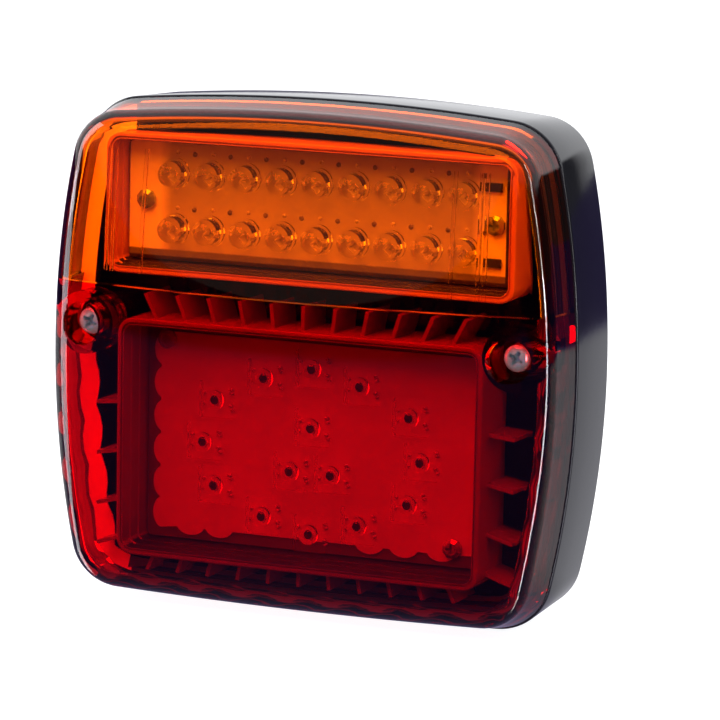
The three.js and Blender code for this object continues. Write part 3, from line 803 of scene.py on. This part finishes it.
piece("centre_web", centre_web(), BLACK, "base")

# ---- reflector sheet on the red board -------------------------------------------------------


def plate(line, low, high):
    """A flat plate with the line of (x, up) points as its edge."""
    count = len(line)
    points = np.c_[np.tile(line, (2, 1)), np.repeat([low, high], count)]
    faces = grid_faces(2, count, close_columns=True).tolist()
    return metres(points), [*faces, list(range(count)), list(range(count, 2 * count))]


def scalloped_sheet():
    """Thin pale sheet on the red board: straight top and right edges, round scallops left and below."""
    left, right, bottom, top = -31.0, 32.8, -34.6, 2.6
    line = [(right, top), (left, top)]
    for up in (-0.9, -7.3, -13.7, -20.1, -26.5, -32.4):
        angles = np.linspace(-1.25, 1.25, 9)
        line += [(left - 0.3 - 2.1 * math.cos(a), up - 3.1 * math.sin(a)) for a in angles]
    for x in (-25.5, -19.5, 11.5, 18.5, 26.0):
        angles = np.linspace(-1.3, 1.3, 9)
        line += [(x + 2.9 * math.sin(a), bottom + 0.2 - 1.9 * math.cos(a)) for a in angles]
    line.append((right, bottom))
    sheet = plate(line, BOARD_FRONT + 0.02, BOARD_FRONT + 0.26)
    return mesh_of("red_reflector_sheet", [sheet])


piece("red_reflector_sheet", scalloped_sheet(), SHEET_WHITE, "base")

# ---- light sources --------------------------------------------------------------------------


def amber_resin(centre):
    """Clear body: flange, barrel and a half-ball dome, turned about its axis."""
    flange, barrel = 2.95, 2.5
    profile = [(0, 0), (flange - 0.1, 0), (flange, 0.1), (flange, 0.7), (flange - 0.1, 0.8)]
    profile += [(barrel + 0.02, 0.82), (barrel, 1.0)]
    profile += [*arc_profile((0, 2.4), barrel, 0, 90, 14)[:-1], (0, 4.88)]
    return turned(profile, centre, base=LED_BASE)


def amber_core(centre):
    """Silvered four-sided cup on its post, with a second post and a low bar beside it."""
    x, up = centre
    foot = LED_BASE + 0.1
    cup = [(0, 0), (0.35, 0), (0.4, 1.2), (1.05, 2.2), (0.9, 2.2), (0.45, 1.5), (0, 1.45)]
    return [
        turned(cup, (x + 0.45, up - 0.35), 4, foot),
        upright_fin((x - 1.9, up + 0.1), (x - 1.35, up + 0.1), foot, foot + 2.3, 0.5),
        upright_fin((x + 0.2, up - 1.7), (x + 1.2, up - 1.5), foot, foot + 0.9, 0.35),
    ]


def red_body(centre):
    """Clear square body with bevelled edges."""
    x, up = centre
    half = 3.5
    box = (x - half, x + half, up - half, up + half)
    return swept_box(box, 0.5, [(0, LED_BASE), (0, LED_BASE + 1.5), (-0.4, LED_BASE + 1.9)], solid=True)


def red_dome(centre):
    """Clear round barrel with a low round dome on it."""
    radius, foot, shoulder = 1.9, 1.95, 2.3
    profile = [(0, foot), (radius, foot), (radius, shoulder)]
    profile += dome_profile(radius, 1.48, shoulder, 0.1, 10)
    return turned(profile, centre, 32, LED_BASE)


def red_core(centre):
    """Silvered half ring beside the chip, and small bright legs at both sides of the body."""
    x, up = centre
    ring_radius, wire_radius = 0.85, 0.17
    bend, round_wire = np.linspace(-1.1, 1.0, 12), np.linspace(0, 2 * math.pi, 6, endpoint=False)
    ring = [(x + ring_radius * math.cos(a), up + ring_radius * math.sin(a), 21.1) for a in bend]
    wire = [(wire_radius * math.cos(a), wire_radius * math.sin(a)) for a in round_wire]
    parts = [bar_along(ring, wire)]
    leg = [(0, 0), (0.3, 0), (0.22, 0.5), (0, 0.6)]
    for shift_x, shift_up in ((-2.9, 1.0), (-2.9, -1.0), (2.4, 1.9), (2.6, 1.2), (2.4, -1.2), (2.7, -2.0)):
        parts.append(turned(leg, (x + shift_x, up + shift_up), 8, LED_BASE + 0.1))
    return parts


def red_chip(centre):
    """The dark chip, a low disc on the body."""
    return turned([(0, 1.92), (0.7, 1.92), (0.6, 2.1), (0, 2.1)], centre, 20, LED_BASE)


amber_places = {
    f"{name}_{number + 1}": (AMBER_FIRST + number * AMBER_PITCH, up)
    for name, up in AMBER_ROWS.items()
    for number in range(AMBER_COUNT)
}
for label, place in amber_places.items():
    resin = mesh_of(f"amber_led_{label}_resin", [amber_resin(place)])
    piece(resin.name, resin, RESIN, "base", [f"amber_led_{label}"])
    core = mesh_of(f"amber_led_{label}_core", amber_core(place))
    piece(core.name, core, SILVER, "base")

RING_QUARTER = [(0, 15.7), (9.8, 13.2), (19.8, 8.2), (22.2, 0)]
ring_right = RING_QUARTER + [(x, -up) for x, up in RING_QUARTER[-2::-1]]
ring = ring_right + [(-x, up) for x, up in ring_right[-2:0:-1]]
inner = [(0, 4.5), (-4.2, -4.1), (4.2, -4.1)]
red_places = {f"ring_led_{n + 1}": place for n, place in enumerate(ring)}
red_places |= {f"inner_led_{n + 1}": place for n, place in enumerate(inner)}
for label, (x, up) in red_places.items():
    place = (x, RING_CENTRE + up)
    body = mesh_of(f"red_{label}_body", [red_body(place)])
    piece(body.name, body, SOFT_RESIN, "base", [f"red_{label}"])
    dome = mesh_of(f"red_{label}_dome", [red_dome(place)])
    piece(dome.name, dome, RESIN, "base")
    core = mesh_of(f"red_{label}_core", red_core(place))
    piece(core.name, core, SILVER, "base")
    chip = mesh_of(f"red_{label}_chip", [red_chip(place)])
    piece(chip.name, chip, CHIP, "base")


def board_dots(name, shift, radius):
    """One mesh of small domes on the amber board, one at a shift from each light source."""
    profile = [(0, 0), (radius, 0), *dome_profile(radius, 0.5 * radius, 0.02, 0.3, 5)]
    places = [(x + shift[0], up + shift[1]) for x, up in amber_places.values()]
    return mesh_of(name, [turned(profile, place, 12, BOARD_FRONT) for place in places])


piece("amber_board_solder", board_dots("amber_board_solder", (0.2, 3.9), 0.42), SILVER, "base")
piece("amber_board_vias", board_dots("amber_board_vias", (3.7, 3.7), 0.5), BOARD_SPOT, "base")

# ---- lens screws ----------------------------------------------------------------------------


def cover_screw(centre):
    """Pan-head screw: a dome with a cross recess, a round edge and a shank with plain rings.

    The dome's height is 28.3 - 0.85 (r / 2.55)^3, less 1.7 inside the hub and two crossed slots,
    which narrow outwards and have sloping walls.
    """
    radius, top, fall, depth = 2.55, 28.3, 0.85, 1.7
    sides, slant = 120, 0.5
    r = np.linspace(0, 1, 34)[:, None] * radius * 0.94
    t = np.linspace(0, 2 * math.pi, sides, endpoint=False)[None]
    along_one, along_other = r * np.cos(t + slant), r * np.sin(t + slant)

    def slot(across, along):
        width = np.clip((0.5 - 0.1 * np.abs(along) - np.abs(across)) / 0.1, 0, 1)
        return width * np.clip((1.5 - np.abs(along)) / 0.35, 0, 1)

    recess = np.maximum(slot(along_one, along_other), slot(along_other, along_one))
    hub = np.clip((0.8 - r) / 0.2, 0, 1)
    out = top - fall * (r / radius) ** 3 - depth * np.maximum(recess, hub)
    head = metres(np.stack([r * np.cos(t) + centre[0], r * np.sin(t) + centre[1], out], axis=-1))

    shank, core, pitch = 1.45, 1.22, 0.65
    rim = [(2.5, 27.45), (radius, 27.2), (radius, 26.5), (2.45, 26.4), (shank, 26.4), (shank, 25.0)]
    for number in range(20):
        rim += [(shank, 24.8 - number * pitch), (core, 24.5 - number * pitch)]
    rim += [(0.8, 10.6), (0, 10.42)]
    side, _ = turned(rim, centre, sides)
    points = np.concatenate([head, side])
    return points, grid_faces(*points.shape[:2], close_columns=True)


for side, place in SCREWS.items():
    screw = mesh_of(f"cover_screw_{side}", [cover_screw(place)], sharp=40)
    piece(screw.name, screw, ZINC, f"{side}_screw", [f"lens_screw_{side}"])

# ---- finishes of the remaining CAD pieces ---------------------------------------------------


def finish(names, material):
    """Gives one finish to CAD pieces that stay as they are."""
    for name in names:
        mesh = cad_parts[name].data
        mesh.materials.clear()
        mesh.materials.append(material)


finish(["amber_board"], amber_board_painted_light_finish())
finish(["red_board"], BOARD_DARK)
finish([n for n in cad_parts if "board_screw" in n], ZINC)
finish(["brass_insert_left", "brass_insert_right"], BRASS)
finish(["screw_o_ring_left", "screw_o_ring_right", "cable_grommet"], RUBBER)
finish(["terminal_block"], CREAM)
finish([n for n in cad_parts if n.startswith("resistor")], CHIP)
for name, material in WIRES.items():
    finish([name], material)

# ---- studio ---------------------------------------------------------------------------------


def camera():
    """A long lens from the right and a little above, rolled slightly."""
    azimuth, elevation, roll = math.radians(23.0), math.radians(9.6), math.radians(1.135)
    place = (0.31409, -0.7385, 0.13246)
    level = math.cos(elevation)
    right = Vector((math.cos(azimuth), math.sin(azimuth), 0))
    forward = Vector((-math.sin(azimuth) * level, math.cos(azimuth) * level, -math.sin(elevation)))
    up = right.cross(forward)
    tilted = right * math.cos(roll) + up * math.sin(roll)
    upright = up * math.cos(roll) - right * math.sin(roll)
    data = bpy.data.cameras.new("camera")
    data.lens = 212.25
    data.sensor_width = 36.0
    data.clip_start, data.clip_end = 0.05, 20.0
    eye = add_object("camera", data)
    turn = Matrix((tilted, upright, -forward)).transposed().to_4x4()
    eye.matrix_world = Matrix.Translation(place) @ turn
    bpy.context.scene.camera = eye


def area_light(name, place, target, size, power, glossy=True):
    """A soft box at place that faces the target, with or without an image in glossy surfaces."""
    data = bpy.data.lights.new(name, "AREA")
    data.shape = "RECTANGLE"
    data.size, data.size_y = size
    data.energy = power
    lamp = add_object(name, data)
    lamp.location = place
    lamp.rotation_euler = (Vector(target) - Vector(place)).to_track_quat("-Z", "Y").to_euler()
    lamp.visible_glossy = glossy


def wedge(tree, place, corner, angle, width, soft=0.03):
    """1 in the directions within width of the angle, as seen from the corner, and 0 elsewhere."""
    offset = node(tree, "ShaderNodeVectorMath", {0: place, 1: (*corner, 0)}, operation="SUBTRACT")
    aligned = node(tree, "ShaderNodeVectorRotate", {"Vector": offset.outputs["Vector"], "Angle": -angle})
    parts = node(tree, "ShaderNodeSeparateXYZ", {0: aligned.outputs["Vector"]})
    across = reckon(tree, "ABSOLUTE", reckon(tree, "ARCTAN2", parts.outputs["Y"], parts.outputs["X"]))
    return ramp(tree, across, width, width + soft, 1.0, 0.0, smoothed=True)


def painted_floor_reflection(tree):
    """How bright glossy rays find the floor: a painted reflection that the floor gives off as its own light.

    It is grey near the lamp and dark far off and in front, with painted images of two strip lights.
    """
    place = node(tree, "ShaderNodeTexCoord").outputs["Object"]
    distance = node(tree, "ShaderNodeVectorMath", {0: place}, operation="LENGTH").outputs["Value"]
    parts = node(tree, "ShaderNodeSeparateXYZ", {0: place})
    near = ramp(tree, distance, 0.40, 0.46, 0.60, 0.09, smoothed=True)
    behind = ramp(tree, parts.outputs["Y"], -0.05, 0.02, 0.2, 1.0)
    right = wedge(tree, place, (0.046, -0.028), math.radians(-12), 0.035)
    left = wedge(tree, place, (-0.045, -0.028), math.radians(197), 0.25)
    right_painted_strip_gain, left_painted_strip_gain = 16.0, 5.0
    level = reckon(tree, "MULTIPLY", near, behind)
    level = reckon(tree, "MULTIPLY_ADD", right, right_painted_strip_gain, level)
    return reckon(tree, "MULTIPLY_ADD", left, left_painted_strip_gain, level)


def pale_floor():
    """A floor a little under the lamp, nearly white by its own light, with a painted reflection that only
    glossy rays see.
    """
    half, gap = 6.0, 0.0002
    low = float(cad_low.z) - gap
    mesh = bpy.data.meshes.new("floor")
    corners = [(-half, -half, low), (half, -half, low), (half, half, low), (-half, half, low)]
    mesh.from_pydata(corners, [], [(0, 1, 2, 3)])
    floor = add_object("floor", mesh)
    material, tree, shader, output = start_material("pale_floor")
    shader.inputs["Base Color"].default_value = (0.30, 0.30, 0.30, 1)
    shader.inputs["Roughness"].default_value = 0.9
    shader.inputs["Emission Color"].default_value = (0.97, 0.975, 1.0, 1)
    shader.inputs["Emission Strength"].default_value = 0.97
    level = painted_floor_reflection(tree)
    # painted reflection: a lilac-tinted glow from the floor, seen only by glossy rays
    painted_reflection_tint = shade_mix(tree, ramp(tree, level, 0.15, 0.5), (0.35, 0.22, 1.0), (0.92, 0.92, 1.0))
    painted_reflection_glow = node(tree, "ShaderNodeEmission", {"Color": painted_reflection_tint, "Strength": level})
    shown_to(tree, "Is Glossy Ray", painted_reflection_glow, shader, output)
    mesh.materials.append(material)


def surround():
    """White to the camera; light behind the lamp, dim in front of it and dark low down at its right."""
    world = bpy.data.worlds.new("surround")
    bpy.context.scene.world = world
    world.use_nodes = True
    tree = world.node_tree
    place = node(tree, "ShaderNodeTexCoord")
    parts = node(tree, "ShaderNodeSeparateXYZ", {0: place.outputs["Generated"]})
    behind = ramp(tree, parts.outputs["Y"], -0.35, 0.25, 0.12, 1.1, smoothed=True)
    aside = ramp(tree, parts.outputs["X"], 0.15, 0.3, 0.0, 0.97)
    low = ramp(tree, parts.outputs["Z"], 0.13, 0.17, 1.0, 0.0)
    kept = reckon(tree, "SUBTRACT", 1.0, reckon(tree, "MULTIPLY", aside, low))
    path = node(tree, "ShaderNodeLightPath")
    level = reckon(tree, "MULTIPLY", behind, kept)
    level = reckon(tree, "MAXIMUM", level, path.outputs["Is Camera Ray"])
    back = tree.nodes["Background"]
    tree.links.new(level, back.inputs["Strength"])
    back.inputs["Color"].default_value = (0.96, 0.97, 1.0, 1)


def soft_boxes():
    """A top light and a front light that fill without an image, and a tall strip at each side."""
    area_light("top_box", (-0.1, -0.35, 0.75), (0, 0, 0), (0.7, 0.5), 12.0, glossy=False)
    area_light("front_fill", (0.1, -1.2, 0.9), (0, 0, 0), (0.8, 0.4), 11.0, glossy=False)
    area_light("right_strip", (0.93, -0.215, 0.40), (0.05, 0, 0.40), (0.055, 0.9), 2.4)
    area_light("left_strip", (-0.906, -0.291, 0.40), (-0.045, -0.028, 0.40), (0.46, 0.9), 6.5)


camera()
pale_floor()
surround()
soft_boxes()
view = bpy.context.scene.view_settings
view.view_transform = "Standard"
